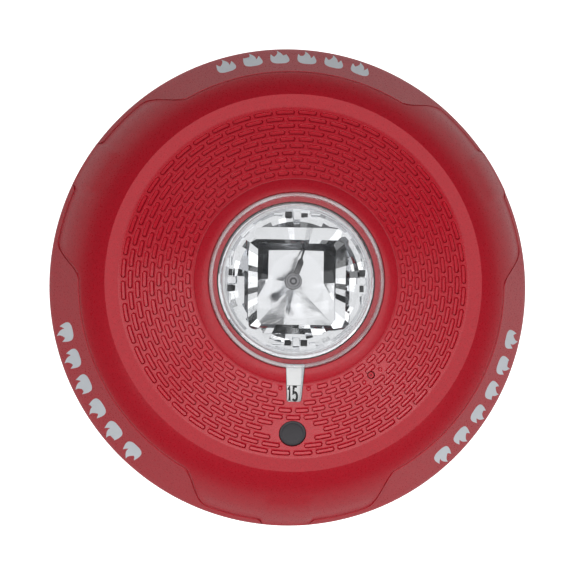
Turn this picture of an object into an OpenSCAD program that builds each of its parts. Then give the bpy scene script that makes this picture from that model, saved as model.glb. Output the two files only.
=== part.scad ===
// Ceiling horn strobe: a lobed round housing with a clear strobe lens, a sounder,
// candela and tone selectors, and the mounting plate that it plugs onto.
// Millimetres. Origin: centre of the mounting plate's back face, +Z out of the front.

/* [Housing] */
// Outer radius of the skirt
body_r = 86.4; // [85:0.2:88]
// Radius where the marking panels of the skirt meet the dome
crease_r = 75.3; // [74.5:0.1:76]
// Radius that the three dome lobes reach
lobe_r = 84; // [83:0.1:84.4]
// Outer radius of the flat ring round the dashed field
ring_r = 67; // [66.5:0.1:67.5]
// Inner radius of that ring, where the dashed cone starts
cone_r = 62.5; // [62:0.1:63]
// Height of the flat ring
ring_h = 35; // [34.5:0.1:36]
// Outer radius of the smooth collar round the lens
collar_r = 36; // [35.5:0.1:36.5]
// Height of the cone where the collar starts
cone_h = 45.5; // [45:0.1:46]
// Height of the collar at the lens
collar_h = 48; // [47.8:0.1:48.4]
// Wall thickness of the moulded shells
wall = 2.4; // [2:0.1:2.6]

/* [Lens] */
// Overall height, from the mounting face to the top of the lens
total_h = 64; // [62:0.5:66]
// Outer radius of the lens bezel
bezel_r = 30.9; // [30.5:0.1:31]
// Outer radius of the clear dome at its foot
dome_r = 26.5; // [26:0.1:26.8]
// Thickness of the clear dome
dome_wall = 1.8; // [1.4:0.1:2.2]

/* [Number window] */
// Width of the window tab beside the lens
tab_w_in = 6.6; // [6:0.1:7]
// Width of the window tab at its outer end
tab_w_out = 5; // [4.6:0.1:5.4]
// Distance from the centre to the window's outer end
tab_end = 42.3; // [41.5:0.1:43]

/* [Badge] */
// Radius of the blank round badge
badge_r = 4.65; // [4:0.05:5]
// Distance from the centre to the badge
badge_y = 53.6; // [53:0.1:54]

/* [Candela slider] */
// Number of candela settings
candela_count = 7; // [5:1:7]
// Distance between two settings
candela_pitch = 4.2; // [4:0.1:4.3]

/* [Mounting plate] */
// Radius of the mounting plate
plate_r = 74; // [72:0.5:75]
// Thickness of the mounting plate
plate_t = 3; // [2.5:0.1:3]
// Screw spacing of an octagonal ceiling box
octagon_spacing = 88.9; // [88:0.1:90]
// Screw spacing of a single-gang box
gang_spacing = 83.3; // [83:0.1:84]
// Width of the box-screw slots
slot_w = 4.6; // [4.2:0.1:5]
// Length of the box-screw slots
slot_len = 9; // [8:0.5:10]
// Radius of the wiring opening
wiring_r = 20; // [18:0.5:21]

/* [Hidden] */
$fn = 96;
eps = 0.01;
running = 0.08;         // radial clearance of a turning shaft
gap = 0.3;              // clearance between pieces that slide past each other

rim_z = 1;              // skirt edge, just off the ceiling
belt_z = [7, 9];        // widest band of the skirt
rim_r = body_r - 0.8;
crease_z = 28.3;        // top of the skirt at the crease
skirt_slope = (crease_z - belt_z[1]) / (body_r - crease_r);
lobe_z = 14.3;          // lower edge of a dome lobe
lobe_half = 20;         // half angle of a lobe, degrees
lobe_blend = 10;        // angle of the curve from lobe to crease, degrees
lobe_at = [30, 150, 270];
dome_turn = 22;         // half the angle that the dome arc turns through

seat_r = bezel_r + 0.2; // recess for the lens flange
seat_z = 46;
seat_under = 43.8;
throat_r = 27.8;        // opening below the seat
cone_slope = (cone_h - ring_h) / (cone_r - collar_r);
function cone_z(r) = ring_h + (cone_r - r) * cone_slope;

cover_r = 72;           // rear cover
cover_z = 13;
cover_t = 2;
cover_wall_z = 23;
board_z = 20;           // circuit board
board_t = 1.6;
board_r = 57.5;
board_top = board_z + board_t;
fixing_r = 62;          // circle of the housing bosses
board_posts = [-15, 55, 125, 195];
board_post_r = 53;

screw_at = [27.1, -32.6];     // captive mounting screw
screw_head_z = 35.6;
screw_head_h = 3;
screw_head_r = 2.7;
screw_shank_r = 1.72;
screw_tip_z = 42.3;           // end of its drive stud, just below the dashed field
screw_tip_r = 1.1;
access_r = 1.6;               // hole in the dashed field round the drive stud
screw_post_r = 3;             // post of the plate that the screw goes into
screw_boss_r = 3.8;           // boss of the housing round its head

terminal_x = [-18, -6, 6, 18];
pin_y = -23.5;
terminal_y = -31;
block_top = 11;
pin_r = 0.8;

tone_at = [-32, -32];         // tone selector
tone_r = 3.5;

piezo_at = [0, 40.5];         // sounder
piezo_z = [27, 27.5, 27.9];   // plate, then ceramic
piezo_r = 17.7;
wiring_at = [0, 12];          // wiring opening
locator_x = 30;               // locating tabs and their slots
spacer_r = 66;                // circle of the rear cover's feet
strip_z = 35.2;               // candela number strip
tab_low = strip_z + 1.4;       // foot of the window tab, just above the strip
strip_y = [-42.8, -36.6];
card_y = [strip_y[1] + 0.1, -29.5];   // white card under the inner half of the window
card_t = 0.35;
arm_y = [-46.6, -44.6];
arm_w = 8;
candela_travel = (candela_count - 1) * candela_pitch;
strip_x = [-candela_travel - candela_pitch / 2 - 2, candela_pitch / 2 + 2];
arm_x = [-candela_travel / 2 - arm_w / 2, -candela_travel / 2 + arm_w / 2];
arm_slot = candela_travel / 2 + arm_w / 2 + gap + 0.2;

// Shared shapes ------------------------------------------------------------------

module box(low, high) translate(low) cube(high - low);

module post(at, z0, z1, r) translate([at[0], at[1], z0]) cylinder(r = r, h = z1 - z0);

module pipe(at, z0, z1, r_out, r_in) difference() {
    post(at, z0, z1, r_out);
    post(at, z0 - eps, z1 + eps, r_in);
}

module slot_x(at, z0, z1, w, len) {
    for (s = [-1, 1]) post([at[0] + s * (len - w) / 2, at[1]], z0, z1, w / 2);
    box([at[0] - (len - w) / 2, at[1] - w / 2, z0], [at[0] + (len - w) / 2, at[1] + w / 2, z1]);
}

module slot_y(at, z0, z1, w, len)
    translate([at[0], at[1], 0]) rotate(90) slot_x([0, 0], z0, z1, w, len);

// A straight round rod between two points.
module rod(a, b, r) {
    d = b - a;
    translate(a) rotate([0, acos(d[2] / norm(d)), atan2(d[1], d[0])]) cylinder(r = r, h = norm(d), $fn = 24);
}

function polar(r, a) = [r * cos(a), r * sin(a)];
function ease(t) = let (u = min(max(t, 0), 1)) u * u * (3 - 2 * u);
function arc(c, r, a0, a1, n) = [for (i = [0:n]) c + polar(r, a0 + (a1 - a0) * i / n)];

// Arc from p to q that bulges to the left of the way from q to p, turning 2 * half degrees.
function bulge(p, q, half, n) = let (
        chord = norm(q - p),
        r = chord / 2 / sin(half),
        u = (q - p) / chord,
        side = [u[1], -u[0]],
        c = (p + q) / 2 + side * r * cos(half),
        a0 = atan2(p[1] - c[1], p[0] - c[0])
    ) arc(c, r, a0, a0 - 2 * half, n);

// Front housing ------------------------------------------------------------------

// Plan of the dome: a disc with three lobes.
// A lobe's plan starts inside the disc and runs out past the dome's own edge.
function lobe_edge(a) =
    crease_r - 0.6 + (lobe_r - crease_r + 1.6) * (1 - ease((abs(a) - lobe_half) / lobe_blend));

module dome_plan() {
    circle(r = crease_r);
    span = lobe_half + lobe_blend;
    for (a = lobe_at) rotate(a)
        polygon(concat([[0, 0]], [for (b = [-span : 2 : span]) polar(lobe_edge(b), b)]));
}

module dome_solid() rotate_extrude() polygon(concat(
    [[0, rim_z], [lobe_r, rim_z]],
    reverse(bulge([ring_r, ring_h], [lobe_r, lobe_z], dome_turn, 10)),
    [[cone_r, ring_h], [collar_r, cone_h], [seat_r, collar_h], [0, collar_h]]
));

function reverse(v) = [for (i = [len(v) - 1 : -1 : 0]) v[i]];

module skirt_solid() rotate_extrude() polygon([
    [0, rim_z], [rim_r, rim_z], [body_r, belt_z[0]], [body_r, belt_z[1]],
    [crease_r - 1, crease_z + skirt_slope], [0, crease_z + skirt_slope]
]);

module housing_hollow() rotate_extrude() polygon([
    [0, rim_z - 1], [rim_r - wall, rim_z - 1], [body_r - wall, belt_z[0]], [body_r - wall, belt_z[1]],
    [crease_r - wall, crease_z - wall / 2], [ring_r - 1.5, ring_h - wall],
    [cone_r - 0.8, ring_h - wall], [collar_r - 1.2, cone_h - wall],
    [seat_r + 1.5, seat_under], [0, seat_under]
]);

// The window's plan, wider by grow all round.
module tab_plan(grow) {
    inner = tab_w_in / 2 + grow;
    outer = tab_w_out / 2 + grow;
    end = -tab_end - grow;
    corner = 0.8;
    polygon(concat(
        [[-inner, -bezel_r + 1.5], [-outer, end + corner]],
        arc([-outer + corner, end + corner], corner, 180, 270, 5),
        arc([outer - corner, end + corner], corner, 270, 360, 5),
        [[inner, -bezel_r + 1.5]]
    ));
}

module front_housing() color([0.66, 0.07, 0.1]) difference() {
    union() {
        difference() {
            union() {
                intersection() {
                    dome_solid();
                    linear_extrude(60) dome_plan();
                }
                skirt_solid();
            }
            housing_hollow();
        }
        for (a = lobe_at) post(polar(fixing_r, a), cover_z + cover_t, ring_h - 1, 4);
        intersection() {
            post(screw_at, 31, 50, screw_boss_r);
            dome_solid();
        }
    }
    post(screw_at, 30, 39, screw_head_r + 0.25);
    post([0, 0], seat_under - 1, collar_h + 1, throat_r);
    post([0, 0], seat_z, collar_h + 1, seat_r);
    at_badge() post([0, 0], -1.5, 5, badge_r + 0.15);
    post(screw_at, 30, 50, access_r);
    translate([0, 0, tab_low]) linear_extrude(15) tab_plan(0.15);
    for (a = lobe_at) post(polar(fixing_r, a), cover_z, 30, 1.25);
}

// The badge lies along the cone.
module at_badge() translate([0, -badge_y, cone_z(badge_y)]) rotate([atan(cone_slope), 0, 0]) children();

module round_badge() color([0.24, 0.23, 0.26]) at_badge() post([0, 0], -1.5, -0.25, badge_r);

// Strobe -------------------------------------------------------------------------

function cap_radius(r, h) = (r * r + h * h) / (2 * h);

// Outline of a spherical cap with foot radius r from height z0 to z1.
function cap_line(r, z0, z1, n) = let (
        big = cap_radius(r, z1 - z0),
        c = z1 - big,
        a0 = asin((z0 - c) / big)
    ) [for (i = [0:n]) [big * cos(a0 + (90 - a0) * i / n), c + big * sin(a0 + (90 - a0) * i / n)]];

module strobe_lens() color([0.9, 0.94, 0.96, 0.45]) {
    flange_top = 48.4;
    rotate_extrude() polygon(concat(
        [[dome_r - dome_wall, seat_z], [bezel_r, seat_z], [bezel_r, 48.6]],
        arc([bezel_r - 0.8, 48.6], 0.8, 0, 180, 6),
        [[bezel_r - 1.6, flange_top], [dome_r + 0.3, flange_top]],
        cap_line(dome_r, flange_top + 0.4, total_h, 14),
        reverse(cap_line(dome_r - dome_wall, seat_z + 1, total_h - dome_wall, 14))
    ));
    difference() {
        intersection() {
            translate([0, 0, tab_low]) linear_extrude(15) tab_plan(0);
            rotate_extrude() polygon([
                [bezel_r - 0.4, tab_low], [tab_end + 1, tab_low], [tab_end + 1, cone_h - 2.9],
                [collar_r, cone_h + 0.2], [bezel_r - 0.4, collar_h + 0.2]
            ]);
        }
        post([0, 0], tab_low - 1, seat_z, seat_r + 1);
    }
}

module window_card() color([0.95, 0.95, 0.94])
    box([-tab_w_in / 2 + 0.2, card_y[0], tab_low - card_t], [tab_w_in / 2 - 0.2, card_y[1], tab_low]);

module reflector() color([0.8, 0.82, 0.85]) difference() {
    union() {
        post([0, 0], 36, 45.8, throat_r - 0.3);
        post([0, 0], 45.8, 47.6, 23.6);
    }
    intersection() {
        translate([0, 40, 0]) rotate([90, 0, 0]) linear_extrude(80)
            polygon([[-10.5, 38], [10.5, 38], [14, 48], [-14, 48]]);
        translate([-40, 0, 0]) rotate([90, 0, 90]) linear_extrude(80)
            polygon([[-11.5, 38], [11.5, 38], [15, 48], [-15, 48]]);
    }
    post(tube_at, 30, 50, tube_cap_r + 0.4);
    post(lead_at, 30, 50, 0.8);
}

tube_caps_z = [[27, 30], [56.4, 58.8]];
tube_at = [-1.9, -0.9];  // the tube stands beside the lens's axis
tube_cap_r = 3;
lead_way = 63;          // the way the lead goes, degrees from +X
lead_at = tube_at + polar(12.6, lead_way);

module flash_tube() color([0.85, 0.9, 0.95, 0.5])
    pipe(tube_at, tube_caps_z[0][1], tube_caps_z[1][0], 2.5, 1.8);

module tube_end_caps() color([0.5, 0.5, 0.52]) for (z = tube_caps_z) post(tube_at, z[0], z[1], tube_cap_r);

module tube_lead() color([0.6, 0.58, 0.55]) difference() {
    lead_wires();
    for (z = tube_caps_z) post(tube_at, z[0] - 0.05, z[1] + 0.05, tube_cap_r + 0.05);
}

module lead_wires() {
    knee = concat(tube_at + polar(9.1, lead_way), 52);
    low = concat(lead_at, 47);
    rod(concat(tube_at + polar(tube_cap_r - eps, lead_way), 57.6), knee, 0.9);
    translate(knee) sphere(r = 0.95, $fn = 24);
    rod(knee, low, 0.4);
    translate(low) sphere(r = 0.5, $fn = 24);
    rod(low, concat(lead_at, board_top), 0.4);
}

module tube_socket() color([0.92, 0.9, 0.85]) difference() {
    post(tube_at, board_top, 35.8, 6);
    post(tube_at, tube_caps_z[0][0], 40, tube_cap_r + 0.05);
}

// Rear cover, screws and board ---------------------------------------------------

module rear_cover() color([0.14, 0.14, 0.15]) difference() {
    union() {
        post([0, 0], cover_z, cover_z + cover_t, cover_r);
        pipe([0, 0], cover_z, cover_wall_z, cover_r, cover_r - 2);
        for (a = board_posts) post(polar(board_post_r, a), cover_z + cover_t - eps, board_z, 3);
        for (a = [45, 135, 225, 315]) post(polar(spacer_r, a), plate_t, cover_z + eps, 3);
        for (s = [-1, 1]) box([s * locator_x - 4, 60, 1], [s * locator_x + 4, 62, cover_z + eps]);
    }
    for (a = lobe_at) {
        post(polar(fixing_r, a), 0, 30, 1.6);
        post(polar(fixing_r, a), 0, cover_z + 0.8, 3.1);
    }
    for (a = board_posts) post(polar(board_post_r, a), cover_z + 1, 30, 1.05);
    post(screw_at, 0, 30, 2.2);
    post(tone_at, 0, 30, 5.3);
    box([-22.5, pin_y - 3, 10], [22.5, pin_y + 3, 20]);
    box([-arm_slot, arm_y[0] - gap, 10], [arm_slot, arm_y[1] + gap, 20]);
    for (i = [-3:3]) slot_y([piezo_at[0] + i * 4, piezo_at[1]], 10, 20, 2, 20);
}

module cover_screws() color([0.7, 0.7, 0.72]) for (a = lobe_at) {
    at = polar(fixing_r, a);
    post(at, cover_z + 0.8 - 1.7, cover_z + 0.8, 2.8);
    post(at, cover_z + 0.8, 27, 1.25);
}

module circuit_board() color([0.1, 0.35, 0.2]) difference() {
    post([0, 0], board_z, board_top, board_r);
    for (a = board_posts) post(polar(board_post_r, a), 10, 30, 1.3);
    post(screw_at, 10, 30, 2.4);
    post(piezo_at, 10, 30, 12);
    for (x = terminal_x) post([x, pin_y], 10, 30, pin_r);
    box([-arm_slot, arm_y[0] - gap, 10], [arm_slot, arm_y[1] + gap, 30]);
}

module board_screws() color([0.72, 0.72, 0.74]) for (a = board_posts) {
    post(polar(board_post_r, a), board_top, board_top + 1.4, 2.4);
    post(polar(board_post_r, a), cover_z + 1.5, board_top, 1.05);
}

module strobe_capacitor() color([0.12, 0.15, 0.25]) difference() {
    translate([-42, 15, board_top + 8]) rotate([90, 0, 0]) cylinder(r = 8, h = 30);
    translate([-42, 15.5, board_top + 8]) rotate([90, 0, 0]) cylinder(r = 6.6, h = 1.2);
}

coil_at = [38, -16];

module inductor_core() color([0.25, 0.25, 0.27]) {
    post(coil_at, board_top, board_top + 1.5, 6.5);
    post(coil_at, board_top + 1.5, board_top + 10.5, 2.8);
    post(coil_at, board_top + 10.5, board_top + 12, 6.5);
}

module inductor_winding() color([0.72, 0.4, 0.2])
    pipe(coil_at, board_top + 1.5, board_top + 10.5, 5.8, 2.8);

module trigger_transformer() color([0.85, 0.75, 0.3]) {
    box([34, 0, board_top], [46, 11, board_top + 9]);
    box([36, 2, board_top + 9], [44, 9, board_top + 10.2]);
}

module control_chips() color([0.08, 0.08, 0.09]) {
    box([-24, -16, board_top], [-14, -6, board_top + 1.6]);
    box([12, -16, board_top], [17, -10, board_top + 1.5]);
    box([-24, 6, board_top], [-18, 10, board_top + 1.5]);
}

module power_transistor() color([0.1, 0.1, 0.11]) {
    box([30, 18, board_top + 1], [40, 22.4, board_top + 10]);
    box([30, 18, board_top + 10], [40, 19.3, board_top + 11]);
}

module rectifier_diodes() color([0.15, 0.15, 0.16])
    for (i = [0:3]) translate([12 + 5 * i, 12, board_top + 1.4]) rotate([90, 0, 0]) cylinder(r = 1.4, h = 6);

module pin_header() color([0.9, 0.88, 0.82]) difference() {
    box([-21.5, pin_y - 2.3, cover_z + 0.5], [21.5, pin_y + 2.3, board_z]);
    for (x = terminal_x) post([x, pin_y], 10, 30, pin_r);
}

module contact_pins() color([0.85, 0.7, 0.35]) for (x = terminal_x) post([x, pin_y], 5, board_top + 1, pin_r);

module candela_switch_body() color([0.1, 0.1, 0.11]) difference() {
    box([-20, arm_y[0] - 3, board_top], [20, arm_y[1] + 3, board_top + 6]);
    box([-arm_slot, arm_y[0] - gap, 10], [arm_slot, arm_y[1] + gap, 40]);
}

module tone_switch_body() color([0.2, 0.3, 0.5]) difference() {
    box(concat(tone_at, 15.3) - [6, 6, 0], concat(tone_at, board_z) + [6, 6, 0]);
    post(tone_at, 10, 30, tone_r + running);
}

// Sounder ------------------------------------------------------------------------

module horn_chamber() color([0.88, 0.88, 0.86]) difference() {
    post(piezo_at, board_top, 31.5, piezo_r + 1.3);
    post(piezo_at, piezo_z[0], 40, piezo_r);
    post(piezo_at, 10, 28, piezo_r - 2.2);
    contact_wires(0.8);
}

module piezo_plate() color([0.83, 0.65, 0.3]) post(piezo_at, piezo_z[0], piezo_z[1], piezo_r);

module piezo_ceramic() color([0.93, 0.92, 0.88]) post(piezo_at, piezo_z[1], piezo_z[2], 11.5);

// Two springs run level from the disc to a post on the board: one from the ceramic, one from the plate.
module contact_wires(r) {
    for (end = [[8, 28.35], [-15, 27.95]]) {
        side = sign(end[0]);
        rod([piezo_at[0] + end[0], piezo_at[1] - 2, end[1]], [22 * side, 30, end[1]], r);
        rod([22 * side, 30, end[1] + r], [22 * side, 30, board_top], r);
    }
}

module piezo_contacts() color([0.8, 0.72, 0.5]) contact_wires(0.4);

// Selectors and captive screw, which move ----------------------------------------

module candela_lever() color([0.85, 0.83, 0.78]) {
    box([arm_x[0], arm_y[0], 9.5], [arm_x[1], arm_y[1], strip_z]);
    box([arm_x[0] + 2.5, arm_y[0] - 1.5, 9.5], [arm_x[1] - 2.5, arm_y[0], 12.5]);
    box([arm_x[0], arm_y[0], strip_z - 1.2], [arm_x[1], strip_y[1] - 1, strip_z]);
}

module candela_strip() color([0.95, 0.95, 0.94])
    box([strip_x[0], strip_y[0], strip_z], [strip_x[1], strip_y[1], strip_z + 1]);

module tone_selector() color([0.9, 0.88, 0.82]) difference() {
    union() {
        post(tone_at, 11, 14.9, 4.9);
        post(tone_at, 14.9, 19.6, tone_r);
    }
    box(concat(tone_at, 10) - [3.8, 0.6, 0], concat(tone_at, 12.2) + [3.8, 0.6, 0]);
    box(concat(tone_at, 10) + [2.2, -1.3, 0], concat(tone_at, 12.2) + [3.8, 1.3, 0]);
}

module captive_screw() color([0.75, 0.75, 0.77]) difference() {
    union() {
        post(screw_at, screw_head_z, screw_head_z + screw_head_h, screw_head_r);
        post(screw_at, 1.5, screw_head_z, screw_shank_r);
        post(screw_at, screw_head_z + screw_head_h, screw_tip_z, screw_tip_r);
    }
    translate([screw_at[0], screw_at[1], screw_tip_z - 1.5]) cylinder(r = 0.6, h = 5, $fn = 6);
}

module captive_washer() color([0.2, 0.2, 0.21]) pipe(screw_at, 12, 12.7, 3.8, screw_shank_r);

// Mounting plate -----------------------------------------------------------------

module mounting_plate() color([0.9, 0.89, 0.85]) difference() {
    union() {
        post([0, 0], 0, plate_t, plate_r);
        pipe([0, 0], 0, 7, plate_r, plate_r - 2);
        pipe(wiring_at, 0, 5.5, wiring_r + 1.6, wiring_r);
        post(screw_at, 0, 10.5, screw_post_r);
    }
    post(wiring_at, -1, 12, wiring_r);
    for (s = [-1, 1]) {
        slot_x([s * octagon_spacing / 2, 0], -1, 5, slot_w, slot_len);
        slot_y([0, s * gang_spacing / 2], -1, 9, slot_w, slot_len);
        box([s * locator_x - 4.4, 59.6, -1], [s * locator_x + 4.4, 62.4, 5]);
    }
    post(screw_at, -1, 12, screw_shank_r + running);
}

module terminal_block() color([0.14, 0.14, 0.15]) difference() {
    box([-24, -36, plate_t], [24, -20, block_top]);
    for (x = terminal_x) {
        box([x - 5, -37, 8], [x + 5, terminal_y + 4.6, block_top + 1]);
        post([x, terminal_y], plate_t + 1, block_top, 1.6);
        post([x, pin_y], plate_t + 1, block_top + 1, 1.5);
    }
}

module terminal_clamps() color([0.8, 0.72, 0.45]) for (x = terminal_x) difference() {
    box([x - 4.4, -35.6, 8.3], [x + 4.4, terminal_y + 4.2, 9.3]);
    post([x, terminal_y], 7, 12, 1.6);
}

module terminal_screws() color([0.78, 0.78, 0.8]) for (x = terminal_x) difference() {
    union() {
        post([x, terminal_y], 9.3, 11.6, 3.4);
        post([x, terminal_y], plate_t + 1, 9.3, 1.6);
    }
    box([x - 4, terminal_y - 0.4, 10.6], [x + 4, terminal_y + 0.4, 12]);
    box([x - 0.4, terminal_y - 2.4, 10.6], [x + 0.4, terminal_y + 2.4, 12]);
}

module contact_jacks() color([0.85, 0.75, 0.45]) for (x = terminal_x)
    pipe([x, pin_y], plate_t + 1, block_top, 1.5, pin_r + running);

module shorting_spring() color([0.82, 0.8, 0.75]) {
    box([terminal_x[1] - 1.5, -19.9, 5], [terminal_x[2] + 1.5, -19.5, 9]);
    for (i = [1, 2]) box([terminal_x[i] - 1.5, -19.9, 9], [terminal_x[i] + 1.5, -18.9, 9.4]);
}

mounting_plate();
terminal_block();
terminal_clamps();
terminal_screws();
contact_jacks();
shorting_spring();
front_housing();
round_badge();
strobe_lens();
window_card();
reflector();
flash_tube();
tube_end_caps();
tube_lead();
tube_socket();
rear_cover();
cover_screws();
circuit_board();
board_screws();
strobe_capacitor();
inductor_core();
inductor_winding();
trigger_transformer();
control_chips();
power_transistor();
rectifier_diodes();
pin_header();
contact_pins();
candela_switch_body();
tone_switch_body();
horn_chamber();
piezo_plate();
piezo_ceramic();
piezo_contacts();
candela_lever();
candela_strip();
tone_selector();
captive_screw();
captive_washer();
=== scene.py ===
"""Looks of the ceiling horn strobe: shapes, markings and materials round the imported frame."""

import math
import random

import bmesh
import bpy
from mathutils import Matrix, Vector

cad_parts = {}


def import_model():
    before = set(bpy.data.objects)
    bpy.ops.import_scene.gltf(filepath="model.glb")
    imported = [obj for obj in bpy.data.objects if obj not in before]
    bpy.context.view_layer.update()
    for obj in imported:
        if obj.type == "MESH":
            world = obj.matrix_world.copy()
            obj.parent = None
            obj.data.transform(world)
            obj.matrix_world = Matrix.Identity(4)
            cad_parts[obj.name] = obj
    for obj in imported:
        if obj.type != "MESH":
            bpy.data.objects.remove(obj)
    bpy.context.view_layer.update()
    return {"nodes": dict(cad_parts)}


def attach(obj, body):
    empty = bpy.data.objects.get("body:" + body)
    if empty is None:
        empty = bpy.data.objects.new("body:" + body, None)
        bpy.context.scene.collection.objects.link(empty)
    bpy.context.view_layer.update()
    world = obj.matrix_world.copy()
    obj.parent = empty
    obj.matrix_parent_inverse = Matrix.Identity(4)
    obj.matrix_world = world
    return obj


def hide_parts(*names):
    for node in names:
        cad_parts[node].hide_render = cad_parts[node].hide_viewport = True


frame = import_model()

MM = 0.001

# Driving dimensions, millimetres, the same as the CAD's --------------------------

BODY_R = 86.4
CREASE_R = 75.3
LOBE_R = 84.0
RING_R = 67.0
CONE_R = 62.5
RING_Z = 35.0
COLLAR_R = 36.0
CONE_Z = 45.5
COLLAR_Z = 48.0
RIM_R, RIM_Z = 85.6, 1.0
BELT = (7.0, 9.0)
CREASE_Z = 28.3
LOBE_Z = 14.3
WALL = 2.4
SEAT_R, SEAT_Z, SEAT_UNDER, THROAT_R = 31.1, 46.0, 43.8, 27.8
BEZEL_R, DOME_R, DOME_WALL = 30.9, 26.5, 1.8
TOTAL_Z = 64.0
SLOPE = (CONE_Z - RING_Z) / (CONE_R - COLLAR_R)
SKIRT_SLOPE = (CREASE_Z - BELT[1]) / (BODY_R - CREASE_R)
BADGE_Y, BADGE_R = -53.6, 4.65
SCREW_AT = (27.1, -32.6)
TUBE_AT = (-1.9, -0.9)
TAB = dict(w_in=6.6, w_out=5.0, end=42.3)
LOBES_AT = (30, 150, 270)
PANELS_AT = (90, 210, 330)

# Mesh helpers ---------------------------------------------------------------------


class Mesh:
    """Collects points in millimetres and faces, and makes one object of them in metres."""

    def __init__(self):
        self.points, self.faces = [], []

    def loop(self, points):
        start = len(self.points)
        self.points += [tuple(p) for p in points]
        return list(range(start, len(self.points)))

    def bridge(self, a, b):
        """Faces between two loops that start side by side; the longer has a multiple of the points."""
        if len(a) > len(b):
            a, b = b, a
        n, m = len(a), len(b)
        k = m // n
        for i in range(n):
            a0, a1 = a[i], a[(i + 1) % n]
            part = [b[(i * k + j) % m] for j in range(k + 1)]
            mid = k // 2
            for j in range(k):
                if j == mid:
                    self.faces.append((a0, a1, part[j + 1], part[j]))
                else:
                    self.faces.append((a0 if j < mid else a1, part[j + 1], part[j]))

    def fan(self, loop, centre):
        c = self.loop([centre])[0]
        for i, p in enumerate(loop):
            self.faces.append((p, loop[(i + 1) % len(loop)], c))

    def face(self, loop):
        self.faces.append(tuple(loop))

    def make(self, name, merge=1e-6):
        me = bpy.data.meshes.new(name)
        me.from_pydata([Vector(p) * MM for p in self.points], [], self.faces)
        bm = bmesh.new()
        bm.from_mesh(me)
        bmesh.ops.remove_doubles(bm, verts=bm.verts, dist=merge)
        bmesh.ops.dissolve_degenerate(bm, edges=bm.edges, dist=1e-7)
        bmesh.ops.recalc_face_normals(bm, faces=bm.faces)
        bm.to_mesh(me)
        bm.free()
        return linked(name, me)


def linked(name, data):
    """A new object in the scene."""
    ob = bpy.data.objects.new(name, data)
    bpy.context.scene.collection.objects.link(ob)
    return ob


def from_bmesh(name, bm):
    """A new object with the faces of bm, which is freed."""
    me = bpy.data.meshes.new(name)
    bm.to_mesh(me)
    bm.free()
    return linked(name, me)


def smooth(ob, angle=32):
    for p in ob.data.polygons:
        p.use_smooth = True
    ob.data.set_sharp_from_angle(angle=math.radians(angle))
    return ob


def dress(ob, material, body, slot, *nodes):
    ob.data.materials.clear()
    ob.data.materials.append(material)
    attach(ob, body)
    if nodes:
        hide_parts(*nodes)
    return ob


def polar(r, degrees, z):
    a = math.radians(degrees)
    return (r * math.cos(a), r * math.sin(a), z)


def ring(r, z, count):
    return [polar(r, 360 * i / count, z) for i in range(count)]


def oval(cx, cy, rx, ry, a0, a1, steps=10):
    turns = [math.radians(a0 + (a1 - a0) * i / steps) for i in range(steps + 1)]
    return [(cx + rx * math.cos(t), cy + ry * math.sin(t)) for t in turns]


def arc(cx, cy, r, a0, a1, steps):
    return oval(cx, cy, r, r, a0, a1, steps)


def revolve(name, profile, count=96, at=(0, 0), closed=True):
    """A turned piece from (radius, height) points, closed on itself unless it ends on the axis."""
    mesh = Mesh()
    loops = []
    for r, z in profile:
        if r < 1e-6:
            loops.append(mesh.loop([(at[0], at[1], z)]))
        else:
            loops.append(mesh.loop([(at[0] + p[0], at[1] + p[1], p[2]) for p in ring(r, z, count)]))
    pairs = list(zip(loops, loops[1:])) + ([(loops[-1], loops[0])] if closed else [])
    for a, b in pairs:
        if len(a) == 1 and len(b) == 1:
            continue
        if len(a) == 1 or len(b) == 1:
            tip, rim = (a, b) if len(a) == 1 else (b, a)
            for i in range(len(rim)):
                mesh.faces.append((rim[i], rim[(i + 1) % len(rim)], tip[0]))
        else:
            mesh.bridge(a, b)
    return mesh.make(name)


def prism(name, outline, z0, z1):
    mesh = Mesh()
    low = mesh.loop([(x, y, z0) for x, y in outline])
    high = mesh.loop([(x, y, z1) for x, y in outline])
    mesh.bridge(low, high)
    mesh.face(low)
    mesh.face(high)
    return mesh.make(name)


def cut(ob, *tools):
    """Subtracts closed tools from ob, then removes them."""
    for tool in tools:
        m = ob.modifiers.new("cut", "BOOLEAN")
        m.operation, m.solver, m.object = "DIFFERENCE", "EXACT", tool
    bpy.context.view_layer.update()
    done = bpy.data.meshes.new_from_object(ob.evaluated_get(bpy.context.evaluated_depsgraph_get()))
    ob.modifiers.clear()
    ob.data = done
    for tool in tools:
        bpy.data.objects.remove(tool)
    return ob


def tube_along(name, path, radius, sides=12):
    """A round bar along a list of points."""
    mesh = Mesh()
    pts = [Vector(p) for p in path]
    side = None
    loops = []
    for i, p in enumerate(pts):
        ahead = (pts[min(i + 1, len(pts) - 1)] - pts[max(i - 1, 0)]).normalized()
        if side is None:
            side = ahead.orthogonal().normalized()
        side = (side - ahead * side.dot(ahead)).normalized()
        up = ahead.cross(side)
        loops.append(mesh.loop([p + (side * math.cos(t) + up * math.sin(t)) * radius
                                for t in (2 * math.pi * k / sides for k in range(sides))]))
    for a, b in zip(loops, loops[1:]):
        mesh.bridge(a, b)
    mesh.face(loops[0])
    mesh.face(loops[-1])
    return smooth(mesh.make(name))


# Materials ------------------------------------------------------------------------


def srgb(r, g, b):
    def lin(c):
        c /= 255
        return c / 12.92 if c <= 0.04045 else ((c + 0.055) / 1.055) ** 2.4
    return (lin(r), lin(g), lin(b), 1)


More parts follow.
